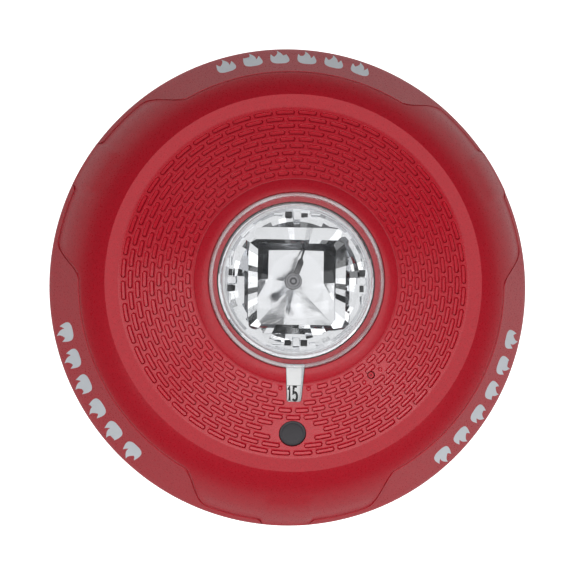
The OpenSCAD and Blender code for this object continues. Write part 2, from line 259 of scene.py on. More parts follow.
class Shader:
    """One Principled material and the nodes that drive it."""

    def __init__(self, name, colour, roughness, **values):
        self.mat = bpy.data.materials.new(name)
        self.mat.use_nodes = True
        self.tree = self.mat.node_tree
        self.bsdf = self.tree.nodes["Principled BSDF"]
        self.bsdf.inputs["Base Color"].default_value = colour
        self.bsdf.inputs["Roughness"].default_value = roughness
        for key, value in values.items():
            self.bsdf.inputs[key.replace("_", " ")].default_value = value
        self.colour = colour

    def node(self, kind, **inputs):
        n = self.tree.nodes.new(kind)
        for key, value in inputs.items():
            n.inputs[key.replace("_", " ")].default_value = value
        return n

    def link(self, a, b):
        self.tree.links.new(a, b)

    def coords(self, stretch=(1, 1, 1)):
        geo = self.node("ShaderNodeTexCoord")
        m = self.node("ShaderNodeMapping", Scale=stretch)
        self.link(geo.outputs["Object"], m.inputs["Vector"])
        return m.outputs["Vector"]

    def noise(self, scale, detail=2.0, stretch=(1, 1, 1), roughness=0.5):
        n = self.node("ShaderNodeTexNoise", Scale=scale, Detail=detail, Roughness=roughness)
        self.link(self.coords(stretch), n.inputs["Vector"])
        return n.outputs["Fac"]

    def spread(self, fac, low, high, start=0.3, stop=0.7):
        n = self.node("ShaderNodeMapRange", From_Min=start, From_Max=stop, To_Min=low, To_Max=high)
        self.link(fac, n.inputs["Value"])
        return n.outputs["Result"]

    def vary_colour(self, fac, low, high):
        n = self.node("ShaderNodeMix")
        n.data_type = "RGBA"
        a, b = [s for s in n.inputs if s.name in "AB" and s.type == "RGBA"]
        a.default_value = [c * low for c in self.colour[:3]] + [1]
        b.default_value = [c * high for c in self.colour[:3]] + [1]
        self.link(fac, n.inputs["Factor"])
        out = [s for s in n.outputs if s.type == "RGBA"][0]
        self.link(out, self.bsdf.inputs["Base Color"])

    def vary_roughness(self, fac, low, high):
        self.link(self.spread(fac, low, high), self.bsdf.inputs["Roughness"])

    def bump(self, fac, height, strength=1.0, edge=0.0):
        n = self.node("ShaderNodeBump", Strength=strength, Distance=height)
        self.link(fac, n.inputs["Height"])
        self.link(n.outputs["Normal"], self.bsdf.inputs["Normal"])
        if edge:
            soft = self.node("ShaderNodeBevel", Radius=edge)
            soft.samples = 4
            self.link(soft.outputs["Normal"], n.inputs["Normal"])


EDGE = 0.00025     # metres, radius that edges look rounded to


def moulded(name, colour, roughness=0.45, grain=2600, height=0.00002, tone=0.06, edge=EDGE,
            tone_scale=45, **values):
    """Moulded plastic with a spark-eroded grain and a drift of tone."""
    s = Shader(name, colour, roughness, **values)
    s.vary_colour(s.spread(s.noise(tone_scale, 4, roughness=0.75), 0, 1), 1 - tone, 1 + tone)
    fine = s.noise(grain, 2)
    s.vary_roughness(fine, roughness - 0.05, roughness + 0.07)
    s.bump(fine, height, edge=edge)
    return s.mat


def metal(name, colour, roughness=0.3, stretch=(1, 1, 14), height=0.000004):
    """Drawn or plated metal with fine marks along one way."""
    s = Shader(name, colour, roughness, Metallic=1.0)
    marks = s.noise(900, 3, stretch)
    s.vary_colour(s.noise(160, 2), 0.88, 1.06)
    s.vary_roughness(marks, roughness - 0.08, roughness + 0.12)
    s.bump(marks, height, edge=EDGE / 2)
    return s.mat


def chrome():
    """Plated mirror with a slight unevenness."""
    s = Shader("reflector_chrome", (0.66, 0.67, 0.69, 1), 0.05, Metallic=1.0)
    s.bump(s.noise(150, 4), 0.00009)
    s.vary_roughness(s.noise(90, 2), 0.05, 0.24)
    return s.mat


def clear(name, tint=0.98, gloss=0.03, white_veil=0.0, ripple=0.000003, ior=1.5):
    """Clear moulded plastic or glass: see-through, with the reflections of its surface."""
    s = Shader(name, (1, 1, 1, 1), 0.1)
    out = s.tree.nodes["Material Output"]
    see = s.node("ShaderNodeBsdfTransparent", Color=(tint, tint, tint, 1))
    shine = s.node("ShaderNodeBsdfGlossy", Color=(0.85, 0.87, 0.9, 1))
    s.link(s.spread(s.noise(120, 2), gloss, gloss + 0.05), shine.inputs["Roughness"])
    bump = s.node("ShaderNodeBump", Strength=1.0, Distance=ripple)
    s.link(s.noise(260, 2), bump.inputs["Height"])
    s.link(bump.outputs["Normal"], shine.inputs["Normal"])
    edge = s.node("ShaderNodeFresnel", IOR=ior)
    front = s.spread(s.node("ShaderNodeNewGeometry").outputs["Backfacing"], 1, 0, 0, 1)
    fac = s.node("ShaderNodeMath")
    fac.operation = "MULTIPLY"
    s.link(edge.outputs["Fac"], fac.inputs[0])
    s.link(front, fac.inputs[1])
    mix = s.node("ShaderNodeMixShader")
    s.link(fac.outputs["Value"], mix.inputs["Fac"])
    inner = see.outputs["BSDF"]
    # A diffuse white mixed into the see-through part; on the lens's rim and foot rings it is painted
    # highlight.
    if white_veil:
        white_diffuse = s.node("ShaderNodeBsdfDiffuse", Color=(0.92, 0.93, 0.95, 1))
        veil = s.node("ShaderNodeMixShader")
        s.link(s.spread(s.noise(38, 2), white_veil * 0.4, white_veil * 1.5, 0.38, 0.62), veil.inputs["Fac"])
        s.link(inner, veil.inputs[1])
        s.link(white_diffuse.outputs["BSDF"], veil.inputs[2])
        inner = veil.outputs["Shader"]
    s.link(inner, mix.inputs[1])
    s.link(shine.outputs["BSDF"], mix.inputs[2])
    s.link(mix.outputs["Shader"], out.inputs["Surface"])
    s.tree.nodes.remove(s.bsdf)
    return s.mat


def head_red(name, rgb, roughness, height, tone=0.11, **values):
    """Red plastic of the head: a coarse grain and a fine mottle, with edges left as they are."""
    return moulded(name, (*rgb, 1), roughness, 1900, height, tone, edge=0, tone_scale=850, **values)


RED = head_red("red_moulding", (0.45, 0.0085, 0.021), 0.3, 0.00004, Specular_IOR_Level=0.4)
# Painted shade: the dome is the same red plastic with a darker base colour, for the light its steeper slope
# loses.
RED_DOME_PAINTED_SHADE = head_red("red_dome_painted_shade", (0.42, 0.0075, 0.019), 0.3, 0.00004, Specular_IOR_Level=0.4)
# Painted light: the field is the same red plastic with a lighter base colour, for the light it catches.
RED_FIELD_PAINTED_LIGHT = head_red("red_field_painted_light", (0.49, 0.0094, 0.023), 0.28, 0.00003)
# Painted shade: the pocket walls are the same red plastic, made darker, rougher and duller to paint the shade
# inside the pockets.
RED_WALL_PAINTED_SHADE = head_red("red_pocket_wall_painted_shade", (0.36, 0.003, 0.013), 0.6, 0.00002, 0.1, Specular_IOR_Level=0.1)
# The pocket floors are really glossier than the grained field, but their lighter base colour is painted
# light. The screw's red cap uses the same material.
RED_POLISHED_PAINTED_LIGHT = moulded("red_polished_painted_light", (0.53, 0.012, 0.028, 1), 0.22, 900, 0.000004, 0.05, edge=0,
                       tone_scale=500)
BADGE_GREY = moulded("badge_satin", srgb(44, 41, 46), 0.5, 1800, 0.000008)
BLACK = moulded("black_moulding", srgb(38, 38, 40), 0.5)
IVORY = moulded("ivory_moulding", srgb(222, 214, 196), 0.45)
PLATE = moulded("plate_moulding", srgb(222, 219, 210), 0.48, 1800, 0.00002)
CHAMBER = moulded("chamber_moulding", srgb(186, 186, 182), 0.5)
BLUE = moulded("switch_moulding", srgb(40, 66, 128), 0.4)
CHIP = moulded("chip_epoxy", srgb(26, 26, 28), 0.55, 4000, 0.00001)
SLEEVE = moulded("capacitor_sleeve", srgb(24, 32, 70), 0.25, 500, 0.000004)
TAPE = moulded("yellow_tape", srgb(214, 176, 70), 0.35, 700, 0.00001)
BOARD = moulded("solder_mask", srgb(20, 92, 48), 0.3, 900, 0.00001, 0.12)
# Painted light: the white strip and card glow faintly, to lift them out of the shade of the deep window.
WHITE_GLOWING = moulded("strip_white", srgb(245, 245, 243), 0.5, 1500, 0.000004, 0.02,
                Emission_Color=(1, 1, 1, 1), Emission_Strength=0.2)
INK = moulded("black_ink", srgb(20, 20, 22), 0.4, 2000, 0.000003)
SILVER_INK = moulded("silver_ink", srgb(214, 219, 225), 0.5, 2600, 0.00001, 0.04, edge=0, Metallic=0.2)
FERRITE = moulded("ferrite", srgb(52, 52, 55), 0.6, 1500, 0.00003)
CERAMIC = moulded("silvered_ceramic", srgb(226, 224, 214), 0.4, 900, 0.000004)
STEEL = metal("zinc_steel", (0.58, 0.58, 0.6, 1))
SPRING = metal("spring_steel", (0.5, 0.48, 0.44, 1), 0.28, (14, 1, 1))
BRASS = metal("plated_brass", (0.72, 0.58, 0.3, 1), 0.26)
COPPER = metal("enamelled_copper", (0.55, 0.22, 0.09, 1), 0.3, (1, 1, 40), 0.00004)
ELECTRODE = metal("electrode", (0.24, 0.24, 0.25, 1), 0.42)
LEAD = metal("lead_nickel", (0.15, 0.15, 0.155, 1), 0.5)
CHROME = chrome()
LENS = clear("clear_lens")
# Painted highlights: a diffuse white in the rim and foot rings stands in for the bright reflections of the
# lens's thick clear edges.
LENS_RIM_PAINTED_GLINT = clear("clear_lens_rim_painted_glint", white_veil=0.22)
LENS_FOOT_PAINTED_GLINT = clear("clear_lens_foot_painted_glint", white_veil=0.3)
WINDOW = clear("number_window", ior=1.22)
WINDOW_SIDE = clear("number_window_side", white_veil=2.5, ior=1.22)     # milky all through
TUBE_GLASS = clear("tube_glass", 0.98, 0.02)

CAD_MATERIALS = {
    "mounting_plate": PLATE, "terminal_block": BLACK, "terminal_clamps": BRASS, "terminal_screws": STEEL,
    "contact_jacks": BRASS, "shorting_spring": SPRING, "front_housing": RED, "round_badge": BADGE_GREY,
    "strobe_lens": LENS, "reflector": CHROME, "flash_tube": TUBE_GLASS, "tube_end_caps": ELECTRODE,
    "tube_lead": LEAD, "tube_socket": IVORY, "rear_cover": BLACK, "cover_screws": STEEL,
    "circuit_board": BOARD, "board_screws": STEEL, "strobe_capacitor": SLEEVE, "inductor_core": FERRITE,
    "inductor_winding": COPPER, "trigger_transformer": TAPE, "control_chips": CHIP, "power_transistor": CHIP,
    "rectifier_diodes": CHIP, "pin_header": IVORY, "contact_pins": BRASS, "candela_switch_body": BLACK,
    "tone_switch_body": BLUE, "horn_chamber": CHAMBER, "piezo_plate": BRASS, "piezo_ceramic": CERAMIC,
    "piezo_contacts": SPRING, "candela_lever": IVORY, "candela_strip": WHITE_GLOWING, "tone_selector": IVORY,
    "captive_screw": STEEL, "captive_washer": BLACK, "window_card": WHITE_GLOWING,
}
for node, material in CAD_MATERIALS.items():
    ob = frame["nodes"][node]
    ob.data.materials.clear()
    ob.data.materials.append(material)
    smooth(ob, 30)

# Front housing --------------------------------------------------------------------

ROWS, CELLS = 10, 48
HALF_CELL = 180 / CELLS
ROW_PITCH, FIRST_ROW_R = 2.49, 60.5
FINE, COARSE = 576, 96     # points in a loop of the outside, and of a turned band
DASH_HALF_WIDTH, DASH_GAP, DASH_CORNER = 0.85, 1.05, 0.78
DIMPLE_R, DIMPLE_CORNER = 0.78, 0.77
# Corner of its cell that each point of a pocket's outline joins to
CELL_SPOT = (0, 1, 1, 1, 2, 2, 3, 3, 3, 4, 5, 5, 5, 6, 6, 7, 7, 7)
# Points of a pocket's outline that make the faces of its floor
DASH_FLOOR = ((1, 0, 9, 8), (2, 1, 8, 7), (3, 2, 7, 6), (4, 3, 6, 5),
              (0, 17, 10, 9), (17, 16, 11, 10), (16, 15, 12, 11), (15, 14, 13, 12))
# Cells without a pocket in each row, round the badge and the window
BLANK = {1: (0,), 2: (-0.5, 0.5), 3: (0, -1, 1), 4: (-0.5, 0.5), 7: (0,), 8: (-0.5, 0.5), 9: (0,)}
# Cells that hold a dimple, as (row, side), and how many degrees it is shifted
DIMPLES = {(9, -1): 0.0, (9, 1): 0.0, (7, -5): -2.4, (7, -6): -0.2}

DOME_HALF_TURN = math.radians(18.5)
LOBE_FULL, LOBE_FADE = 19.6, 10.3     # degrees from a lobe's middle, and over which it ends
GRIP_FULL, GRIP_FADE = 5.4, 1.2       # the same for a finger grip
GRIP_OUT, GRIP_DROP = 2.0, 3.4        # how far it reaches outwards and down
CREASE_DEEP = 0.65
DOME_STEPS, SKIRT_STEPS = 14, 8
ACCESS_R = 1.4


def web_z(r):
    return RING_Z + (CONE_R - r) * SLOPE


def skirt_z(r):
    return BELT[1] + (BODY_R - r) * SKIRT_SLOPE


def ease(t):
    t = min(max(t, 0), 1)
    return t * t * (3 - 2 * t)


def dash_outline(a, b, c):
    """Rounded bar, 18 points anticlockwise from the middle of its lower side, as (along, across)."""
    def corner(cx, cy, a0):
        return arc(cx, cy, c, a0, a0 + 90, 3)

    return ([(0, -b)] + corner(a - c, -b + c, -90) + corner(a - c, b - c, 0)
            + [(0, b)] + corner(-a + c, b - c, 90) + corner(-a + c, -b + c, 180))


def pocket(kind, row, r):
    """Half length, half width, corner radius, depth and draft of a pocket."""
    if kind == "dimple":
        return DIMPLE_R, DIMPLE_R, DIMPLE_CORNER, 0.4, 0.3
    outward = 1 - row / (ROWS - 1)
    half_length = (math.radians(2 * HALF_CELL) * r - DASH_GAP) / 2
    return half_length, DASH_HALF_WIDTH, DASH_CORNER, 0.74 + 0.1 * outward, 0.22 + 0.1 * outward


def field_cell(mesh, row, degrees, kind, shift):
    """One brick of the dashed field: kind is dash, dimple or plain."""
    r = FIRST_ROW_R - ROW_PITCH * row
    low, high = r - ROW_PITCH / 2, r + ROW_PITCH / 2
    spots = [(0, low), (1, low), (1, r), (1, high), (0, high), (-1, high), (-1, r), (-1, low)]
    cell = mesh.loop([polar(q, degrees - s * HALF_CELL, web_z(q)) for s, q in spots])
    if kind == "plain":
        mesh.fan(cell, polar(r, degrees, web_z(r)))
        return
    a, b, c, deep, draft = pocket(kind, row, r)
    levels = ((0.05, 0.0), (-0.02, 0.05), (-draft, deep - 0.06), (-draft - 0.07, deep))
    loops = []
    for grow, sunk in levels:
        outline = dash_outline(a + grow, b + grow, c + grow * 0.9)
        loops.append(mesh.loop([polar(r + v, degrees + shift - math.degrees(u / r), web_z(r + v) - sunk)
                                for u, v in outline]))
    first, floor = loops[0], loops[-1]
    for j, m in enumerate(CELL_SPOT):
        k = (j + 1) % len(CELL_SPOT)
        n = CELL_SPOT[k]
        corners = (cell[n],) if m == n else (cell[n], cell[m])
        mesh.face((first[j], first[k]) + corners)
    for upper, lower in zip(loops, loops[1:]):
        mesh.bridge(upper, lower)
    for quad in DASH_FLOOR:
        mesh.face(floor[i] for i in quad)


def field_kind(row, side):
    """What fills the cell that lies side cells clockwise of the badge, and its shift in degrees."""
    if (row, side) in DIMPLES:
        return "dimple", DIMPLES[row, side]
    return ("plain" if side in BLANK.get(row, ()) else "dash"), 0.0


def dome_line():
    """Centre and radius of the dome's outline: an arc from the ring, 32 degrees down there, to a lobe."""
    p, q = Vector((RING_R, RING_Z)), Vector((LOBE_R, LOBE_Z))
    chord = (q - p).length
    r = chord / 2 / math.sin(DOME_HALF_TURN)
    u = (q - p) / chord
    return (p + q) / 2 + Vector((u.y, -u.x)) * r * math.cos(DOME_HALF_TURN), r


DOME_C, DOME_ARC_R = dome_line()


def dome_z(r):
    return DOME_C.y + math.sqrt(max(DOME_ARC_R ** 2 - (r - DOME_C.x) ** 2, 0))


def lobe_offset(degrees):
    """Angle from the middle of the nearest lobe."""
    return min(abs((degrees - a + 180) % 360 - 180) for a in LOBES_AT)


def edge_r(degrees):
    """Radius of the dome's lower edge: the crease on the panels, further out on a lobe."""
    lobe = 1 - ease((lobe_offset(degrees) - LOBE_FULL) / LOBE_FADE)
    return CREASE_R + (LOBE_R - CREASE_R) * lobe


def grip_amount(degrees):
    """1 on the short finger grip in the middle of each lobe, 0 elsewhere."""
    return 1 - ease((lobe_offset(degrees) - GRIP_FULL) / GRIP_FADE)


def outside_line(degrees):
    """Section (radius, height) at one angle: dome, crease, skirt and belt, down to the rim."""
    edge, grip = edge_r(degrees), grip_amount(degrees)
    line = [(RING_R, RING_Z)]
    for i in range(DOME_STEPS + 1):
        r = RING_R + 0.25 + (edge - RING_R - 0.25) * i / DOME_STEPS
        out, drop = GRIP_OUT * grip * ease((r - 76) / 8.2), GRIP_DROP * grip * ease((r - 78) / 6.5)
        line.append((r + out, dome_z(r) - drop))
    r, z = line[-1]
    foot = skirt_z(min(r, BODY_R)) - CREASE_DEEP
    line += [(r + 0.22, z - 0.28), (r + 0.25, max(foot, z - 1.2) if grip > 0.5 else foot)]
    for out, deep in ((0.75, CREASE_DEEP * 0.8), (1.05, 0.0)):
        q = min(r + out, BODY_R)
        line.append((q, skirt_z(q) - deep))
    top, last = min(r + 1.05, BODY_R), BODY_R - 0.35
    for i in range(1, SKIRT_STEPS + 1):
        q = top + (last - top) * i / SKIRT_STEPS if top < last else BODY_R
        line.append((q, skirt_z(q)))
    return line + [(BODY_R - 0.08, BELT[1] - 0.1), (BODY_R, BELT[1] - 0.6), (BODY_R, BELT[0]),
                   (RIM_R + 0.1, RIM_Z + 0.7), (RIM_R - 0.35, RIM_Z), (RIM_R - WALL + 0.3, RIM_Z)]


def housing_outside(mesh):
    """The outside from the ring to the rim; gives its first and last loops."""
    degrees = [360 * i / FINE for i in range(FINE)]
    lines = [outside_line(d) for d in degrees]
    loops = [mesh.loop([polar(r, d, z) for d, (r, z) in zip(degrees, level)]) for level in zip(*lines)]
    for a, b in zip(loops, loops[1:]):
        mesh.bridge(a, b)
    return loops[0], loops[-1]


def bands(mesh, start, profile):
    """Turned bands from a loop through the (radius, height) points; gives the last loop."""
    for r, z in profile:
        new = mesh.loop(ring(r, z, COARSE))
        mesh.bridge(start, new)
        start = new
    return start


def housing_mesh():
    """The closed shell: dashed field, outside, collar with the lens seat, and inside."""
    mesh = Mesh()
    for row in range(ROWS):
        for k in range(CELLS):
            side = k - CELLS // 2 + (0 if row % 2 else 0.5)
            kind, shift = field_kind(row, side)
            field_cell(mesh, row, 270 - 2 * HALF_CELL * side, kind, shift)
    outer_r = FIRST_ROW_R + ROW_PITCH / 2
    inner_r = FIRST_ROW_R - ROW_PITCH * (ROWS - 0.5)
    start = mesh.loop(ring(outer_r, web_z(outer_r), COARSE))
    start = bands(mesh, start, [(CONE_R - 0.2, web_z(CONE_R - 0.2)), (CONE_R + 0.1, RING_Z + 0.02),
                                (CONE_R + 0.6, RING_Z)])
    ring_edge, rim = housing_outside(mesh)
    mesh.bridge(start, ring_edge)
    foot_z = web_z(COLLAR_R)
    collar = [(COLLAR_R + 0.3, web_z(COLLAR_R + 0.3)), (COLLAR_R + 0.2, foot_z - 0.2),
              (COLLAR_R - 0.05, foot_z - 0.22), (COLLAR_R - 0.15, CONE_Z + 0.12),
              (COLLAR_R - 0.45, CONE_Z + 0.35), (33.4, 46.9), (SEAT_R + 0.35, COLLAR_Z - 0.12),
              (SEAT_R + 0.12, COLLAR_Z - 0.12), (SEAT_R, COLLAR_Z - 0.3), (SEAT_R, SEAT_Z),
              (THROAT_R + 0.1, SEAT_Z), (THROAT_R, SEAT_Z - 0.1), (THROAT_R, SEAT_UNDER)]
    inside = [(SEAT_R + 1.5, SEAT_UNDER), (COLLAR_R - 1.2, CONE_Z - WALL), (CONE_R - 0.8, RING_Z - WALL),
              (RING_R - 1.5, RING_Z - WALL), (CREASE_R - WALL, CREASE_Z - WALL / 2),
              (BODY_R - WALL, BELT[1]), (BODY_R - WALL, BELT[0]), (RIM_R - WALL, RIM_Z + 0.3)]
    start = mesh.loop(ring(inner_r, web_z(inner_r), COARSE))
    mesh.bridge(bands(mesh, start, collar + inside), rim)
    return mesh.make("housing_shell", 2e-6)


def badge_place():
    """From a disc lying flat at the origin to the badge's seat on the cone."""
    up = Matrix.Rotation(math.atan(SLOPE), 4, "X")
    return Matrix.Translation(Vector((0, BADGE_Y, web_z(-BADGE_Y))) * MM) @ up


def tab_outline(grow):
    """Plan of the window: narrower towards its outer end, whose corners are round."""
    inner, outer = TAB["w_in"] / 2 + grow, TAB["w_out"] / 2 + grow
    start, end, c = -BEZEL_R + 1.5 + grow, -TAB["end"] - grow, 0.8
    left = arc(-outer + c, end + c, c, 180, 270, 6)
    right = arc(outer - c, end + c, c, 270, 360, 6)
    return [(-inner, start)] + left + right + [(inner, start)]


def cut_openings(ob):
    """The window slot, the badge's well and the screw's access hole."""
    window = prism("window_cut", tab_outline(0.15), 36, 52)
    well_line = [(0, -1.5), (BADGE_R + 0.05, -1.5), (BADGE_R + 0.2, -1.35), (BADGE_R + 0.2, 4), (0, 4)]
    well = revolve("well_cut", well_line, 64, closed=False)
    well.data.transform(badge_place())
    access_line = [(0, 38), (ACCESS_R, 38), (ACCESS_R, 50), (0, 50)]
    access = revolve("access_cut", access_line, 33, SCREW_AT, closed=False)
    cut(ob, window, well, access)


def paint_housing(ob):
    """Materials of the field, of the floors and walls of its pockets, and of the dome: copies of one red,
    lighter on the field and floors as painted light, darker on the walls and dome as painted shade.
    """
    field, floor, wall, dome = 1, 2, 3, 4
    for material in (RED_FIELD_PAINTED_LIGHT, RED_POLISHED_PAINTED_LIGHT, RED_WALL_PAINTED_SHADE, RED_DOME_PAINTED_SHADE):
        ob.data.materials.append(material)
    for face in ob.data.polygons:
        x, y, z = face.center / MM
        r = math.hypot(x, y)
        deep = web_z(r) - z
        if r > RING_R:
            # The dome takes the darker red as painted shade.
            face.material_index = dome
        elif COLLAR_R + 1 < r < CONE_R - 0.1 and deep < 1.3 and face.normal.z > 0:
            # The field and floors take lighter reds as painted light, the walls the darker red as painted
            # shade.
            face.material_index = field if deep < 0.1 else wall if face.normal.z < 0.75 else floor


def housing():
    ob = housing_mesh()
    cut_openings(ob)
    smooth(ob, 28)
    dress(ob, RED, "head", "red_plastic", "front_housing")
    paint_housing(ob)


housing()


def badge():
    """Blank disc with a raised border, let into the cone."""
    r = BADGE_R
    profile = [(0, -1.5), (r - 0.1, -1.5), (r, -1.4), (r, -0.45), (r - 0.06, -0.32), (r - 0.2, -0.25),
               (r - 0.75, -0.24), (r - 0.95, -0.36), (r - 1.2, -0.4), (0, -0.42)]
    ob = revolve("badge_disc", profile, 96, closed=False)
    ob.data.transform(badge_place())
    dress(smooth(ob), BADGE_GREY, "head", "badge_grey", "round_badge")


badge()

# Lens -----------------------------------------------------------------------------

FLANGE_LOW, FLANGE_Z = SEAT_Z + 0.04, 48.4
BEAD_Z, BEAD_R = 48.6, 0.8     # rounded edge of the flange
TAB_LOW = 36.7


def cap_line(r, z0, z1, steps):
    """Outline of a spherical cap from its foot to its top."""
    big = (r * r + (z1 - z0) ** 2) / (2 * (z1 - z0))
    c = z1 - big
    a0 = math.asin((z0 - c) / big)
    turns = [a0 + (math.pi / 2 - a0) * i / steps for i in range(steps + 1)]
    return [(big * math.cos(t), c + big * math.sin(t)) for t in turns]


def lens():
    """Clear dome with its flange, and rings with a white veil inside the flange's edge and the dome's foot,
    as painted highlights of those thick clear edges.
    """
    outside = [(DOME_R - DOME_WALL, FLANGE_LOW), (BEZEL_R - 0.1, FLANGE_LOW), (BEZEL_R, FLANGE_LOW + 0.1),
               (BEZEL_R, BEAD_Z)]
    outside += arc(BEZEL_R - BEAD_R, BEAD_Z, BEAD_R, 10, 170, 8)
    outside += [(BEZEL_R - 1.65, FLANGE_Z + 0.1), (BEZEL_R - 1.9, FLANGE_Z), (DOME_R + 0.6, FLANGE_Z),
                (DOME_R + 0.15, FLANGE_Z + 0.15)]
    outside += cap_line(DOME_R, FLANGE_Z + 0.5, TOTAL_Z, 26)[:-1] + [(0, TOTAL_Z)]
    inner_z = TOTAL_Z - DOME_WALL
    inside = [(0, inner_z)] + cap_line(DOME_R - DOME_WALL, SEAT_Z + 1, inner_z, 24)[-2::-1]
    ob = revolve("lens_dome", outside + inside, 128)
    dress(smooth(ob, 40), LENS, "head", "clear_lens", "strobe_lens")
    rim = [(BEZEL_R - 1.45, FLANGE_Z + 0.06), (BEZEL_R - 1.5, FLANGE_Z + 0.3), (BEZEL_R - 1.3, 49.1),
           (BEZEL_R - 0.8, 49.3), (BEZEL_R - 0.3, 49.1), (BEZEL_R - 0.12, 48.7),
           (BEZEL_R - 0.14, FLANGE_LOW + 0.4), (BEZEL_R - 0.6, FLANGE_LOW + 0.4),
           (BEZEL_R - 0.7, FLANGE_Z + 0.06)]
    foot = [(DOME_R - 1.2, 46.6), (DOME_R - 0.15, 46.6), (DOME_R - 0.1, FLANGE_Z + 0.3),
            (DOME_R - 0.4, 49.3), (DOME_R - 1.1, 49.3)]
    for name, profile, material in (("lens_rim", rim, LENS_RIM_PAINTED_GLINT), ("lens_foot", foot, LENS_FOOT_PAINTED_GLINT)):
        dress(smooth(revolve(name, profile, 128), 40), material, "head", "clear_lens")


def tab_top_z(r, inset):
    """Top of the window: in line with the field, and level next to the lens."""
    return min(web_z(r), COLLAR_Z - 0.2) + 0.12 - inset


def window_tab():
    """Clear block that fills the window slot."""
    mesh = Mesh()
    plan = tab_outline(-0.06)
    low = mesh.loop([(x, y, TAB_LOW) for x, y in plan])
    mid = mesh.loop([(x, y, tab_top_z(-y, 0.12)) for x, y in plan])
    top = mesh.loop([(x, y, tab_top_z(-y, 0.0)) for x, y in tab_outline(-0.26)])
    mesh.bridge(low, mid)
    mesh.bridge(mid, top)
    mesh.face(low)
    for i in range(len(top) // 2 - 1):
        j = len(top) - 1 - i
        mesh.face((top[i], top[i + 1], top[j - 1], top[j]))
    ob = mesh.make("window_tab")
    dress(smooth(ob, 25), WINDOW, "head", "clear_lens", "strobe_lens")
    ob.data.materials.append(WINDOW_SIDE)
    for face in ob.data.polygons:
        if abs(face.normal.z) < 0.3:
            face.material_index = 1


lens()
window_tab()

# Reflector ------------------------------------------------------------------------


def rounded_box(x0, y0, x1, y1, c):
    corners = ((x1 - c, y0 + c, -90), (x1 - c, y1 - c, 0), (x0 + c, y1 - c, 90), (x0 + c, y0 + c, 180))
    return [p for x, y, a0 in corners for p in arc(x, y, c, a0, a0 + 90, 4)]


SPOKES = 52
BOWL = rounded_box(-13.7, -15.6, 13.7, 13.0, 1.6)
BROW = rounded_box(-16.9, -16.8, 17.3, 14.3, 2.6)
SHOULDER = rounded_box(-18.2, -18.8, 18.8, 18.6, 6.0)
BOWL_LOW, LIP_Z = 40.6, 47.9
# Rings from the shoulder outwards and down: radius, height, and how far its points may drop
SHELF = ((20.8, 47.0, 1.5), (22.4, 46.6, 1.3), (24.0, 46.2, 0.5), (25.2, 45.9, 0.3), (26.9, 45.8, 0.0),
         (27.4, 45.6, 0.0), (27.4, 36.1, 0.0))
# Corners of the bowl's facets: floor, upper walls, and the edge of the wide lower half
BOWL_POINTS = {
    "o": (-0.3, -0.4, 41.0), "a": (-9.5, 10.8, 41.5), "b": (9.9, 10.8, 41.6), "c": (-9.6, 0.6, 41.3),
    "d": (10.0, -0.5, 41.3), "A": (-14.3, 13.7, 45.0), "B": (14.4, 13.7, 45.0), "C": (-14.3, 0.4, 44.9),
    "D": (14.3, -0.6, 44.8), "e": (-14.3, 0.3, 42.7), "f": (-14.3, -7.6, 43.2), "g": (-13.9, -15.8, 43.9),
    "h": (-4.4, -16.2, 45.3), "i": (2.8, -16.2, 45.0), "j": (13.9, -15.8, 44.0), "k": (14.3, -8.2, 43.1),
    "l": (14.3, -0.7, 42.8), "m": (0.4, 11.0, 41.9),
}
BOWL_FACETS = ("oca", "oam", "omb", "obd", "caAC", "bdDB", "amA", "mBA", "mbB", "cef", "ocf", "ofg", "ogh",
               "ohi", "oij", "ojk", "okd", "dkl", "cCe", "dDl")
FACET_JITTER = 0.07
LUG_BEVEL = 0.12


def ray_hits(outline):
    """Points of a plan outline, one on each spoke."""
    hits = []
    for k in range(SPOKES):
        t = 2 * math.pi * (k + 0.5) / SPOKES
        d = Vector((math.cos(t), math.sin(t)))
        for a, b in zip(outline, outline[1:] + outline[:1]):
            p, e = Vector(a), Vector(b) - Vector(a)
            det = d.y * e.x - d.x * e.y
            if abs(det) < 1e-9:
                continue
            far, along = (p.y * e.x - p.x * e.y) / det, (d.x * p.y - d.y * p.x) / det
            if far > 0 and -1e-9 <= along <= 1 + 1e-9:
                hits.append((d.x * far, d.y * far))
                break
    return hits


def broken_facet(mesh, corners, rng):
    """A facet as small uneven triangles that keep its outline."""
    middle = sum(corners, Vector()) / len(corners)
    middle.z += FACET_JITTER * (rng.random() - 0.5)
    rim = []
    for p, q in zip(corners, corners[1:] + corners[:1]):
        rim += [p, (p + q) / 2]
    inner = [p.lerp(middle, 0.45) + Vector((0, 0, FACET_JITTER * (rng.random() - 0.5))) for p in rim]
    outer, inner, tip = mesh.loop(rim), mesh.loop(inner), mesh.loop([middle])[0]
    for i in range(len(outer)):
        k = (i + 1) % len(outer)
        mesh.faces += [(outer[i], outer[k], inner[k]), (outer[i], inner[k], inner[i]),
                       (inner[i], inner[k], tip)]


